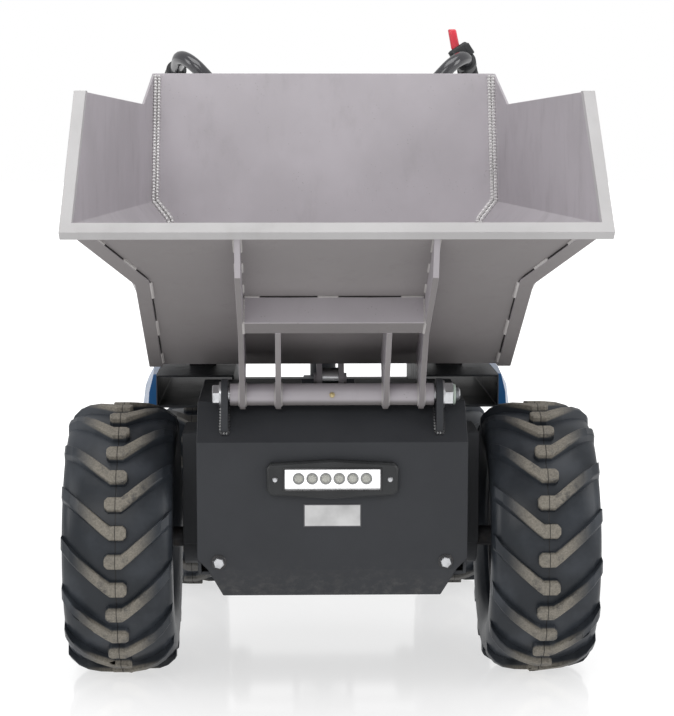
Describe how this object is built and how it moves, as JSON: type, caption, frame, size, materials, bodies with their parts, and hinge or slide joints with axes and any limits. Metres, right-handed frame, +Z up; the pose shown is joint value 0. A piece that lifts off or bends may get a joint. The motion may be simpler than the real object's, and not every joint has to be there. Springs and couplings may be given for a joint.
{
  "type": "wheeled walk-behind site dumper",
  "caption": "Walk-behind site dumper: a forward tipping skip on a four-wheeled chassis with lugged tyres, front lamp, tipping ram and rear wheels steered by a handlebar.",
  "frame": {"origin": "on the ground under the middle of the overall width and length", "axes": "+X to the right seen from the front, -Y forward where the skip tips, +Z up"},
  "size_m": [0.7868, 1.319, 1.0009],
  "materials": {
    "skip_paint": "satin warm grey paint over steel plate",
    "skip_edge": "lighter worn grey paint on the square rim bar",
    "chassis_paint": "charcoal black textured powder coat",
    "fairing_paint": "blue gloss paint",
    "tyre_rubber": "black rubber, dusty on the lugs",
    "rim_paint": "black satin paint on pressed steel",
    "zinc": "bright zinc plate",
    "axle_steel": "dark cast and turned steel, oiled",
    "ram_paint": "black gloss paint",
    "ram_chrome": "polished hard chrome",
    "bar_paint": "black powder coat",
    "grip_rubber": "soft black rubber",
    "black_plastic": "fine matte black plastic",
    "red_plastic": "smooth red plastic",
    "lamp_chrome": "bright reflector",
    "lamp_glass": "clear lens",
    "battery_case": "dark grey moulded case"
  },
  "bodies": {
    "skip": {"skip_base": "skip_paint", "skip_back": "skip_paint", "skip_side_left": "skip_paint", "skip_side_right": "skip_paint", "skip_rim": "skip_edge", "skip_beam": "skip_paint", "skip_outer_legs": "skip_paint", "skip_inner_legs": "skip_paint", "skip_pivot_tube": "skip_paint", "skip_ram_bracket": "skip_paint"},
    "chassis": {"front_cover": "chassis_paint", "chassis_tub": "chassis_paint", "pivot_ears": "chassis_paint", "pivot_pin": "zinc", "lamp_housing": "black_plastic", "lamp_leds": "lamp_chrome", "lamp_lens": "lamp_glass", "front_axle": "axle_steel", "battery": "battery_case", "deck_trays": "chassis_paint", "skip_rests": "grip_rubber", "side_fairings": "fairing_paint", "spine": "chassis_paint", "steering_column": "chassis_paint", "deck_beam": "chassis_paint", "controller_box": "black_plastic", "rear_axle": "chassis_paint"},
    "ram_barrel": {"ram_barrel": "ram_paint"},
    "ram_rod": {"ram_rod": "ram_chrome"},
    "wheel_front_left": {"tyre_front_left": "tyre_rubber", "rim_front_left": "rim_paint"},
    "wheel_front_right": {"tyre_front_right": "tyre_rubber", "rim_front_right": "rim_paint"},
    "wheel_rear_left": {"tyre_rear_left": "tyre_rubber", "rim_rear_left": "rim_paint"},
    "wheel_rear_right": {"tyre_rear_right": "tyre_rubber", "rim_rear_right": "rim_paint"},
    "knuckle_left": {"knuckle_left": "axle_steel"},
    "knuckle_right": {"knuckle_right": "axle_steel"},
    "tie_rod": {"tie_rod": "axle_steel"},
    "steering": {"stem": "bar_paint", "handlebar": "bar_paint", "grips": "grip_rubber", "bar_controls": "black_plastic", "tip_lever": "red_plastic", "control_cables": "grip_rubber", "console": "black_plastic"}
  },
  "joints": [
    {"name": "skip_tip", "type": "hinge", "parent": "chassis", "child": "skip", "pos_m": [0, -0.3096, 0.438], "axis": [1, 0, 0], "range_deg": [0, 80]},
    {"name": "ram_swing", "type": "hinge", "parent": "chassis", "child": "ram_barrel", "pos_m": [0, 0.0704, 0.288], "axis": [1, 0, 0], "range_deg": [-10, 5]},
    {"name": "ram_extend", "type": "slide", "parent": "ram_barrel", "child": "ram_rod", "axis": [0, -0.8517, 0.5241], "range_m": [0, 0.16]},
    {"name": "steer", "type": "hinge", "parent": "chassis", "child": "steering", "pos_m": [0, 0.4604, 0.7], "axis": [0, 0, 1], "range_deg": [-25, 25]},
    {"name": "steer_knuckle_left", "type": "hinge", "parent": "chassis", "child": "knuckle_left", "pos_m": [-0.15, 0.4604, 0.16418], "axis": [0, 0, 1], "range_deg": [-26, 26]},
    {"name": "steer_knuckle_right", "type": "hinge", "parent": "chassis", "child": "knuckle_right", "pos_m": [0.15, 0.4604, 0.16418], "axis": [0, 0, 1], "range_deg": [-26, 26]},
    {"name": "tie_rod_swing", "type": "hinge", "parent": "steering", "child": "tie_rod", "pos_m": [0, 0.3904, 0.2], "axis": [0, 0, 1], "range_deg": [-26, 26]},
    {"name": "roll_front_left", "type": "hinge", "parent": "chassis", "child": "wheel_front_left", "pos_m": [-0.3125, -0.1796, 0.20465], "axis": [1, 0, 0], "continuous": true},
    {"name": "roll_rear_left", "type": "hinge", "parent": "knuckle_left", "child": "wheel_rear_left", "pos_m": [-0.235, 0.4604, 0.16418], "axis": [1, 0, 0], "continuous": true},
    {"name": "roll_front_right", "type": "hinge", "parent": "chassis", "child": "wheel_front_right", "pos_m": [0.3125, -0.1796, 0.20465], "axis": [1, 0, 0], "continuous": true},
    {"name": "roll_rear_right", "type": "hinge", "parent": "knuckle_right", "child": "wheel_rear_right", "pos_m": [0.235, 0.4604, 0.16418], "axis": [1, 0, 0], "continuous": true}
  ],
  "couplings": [
    {"joint": "ram_swing", "follows": "skip_tip", "ratio": -0.0872},
    {"joint": "ram_extend", "follows": "skip_tip", "m_per_rad": 0.09979},
    {"joint": "steer_knuckle_left", "follows": "steer", "ratio": 1},
    {"joint": "steer_knuckle_right", "follows": "steer", "ratio": 1},
    {"joint": "tie_rod_swing", "follows": "steer", "ratio": -1}
  ]
}
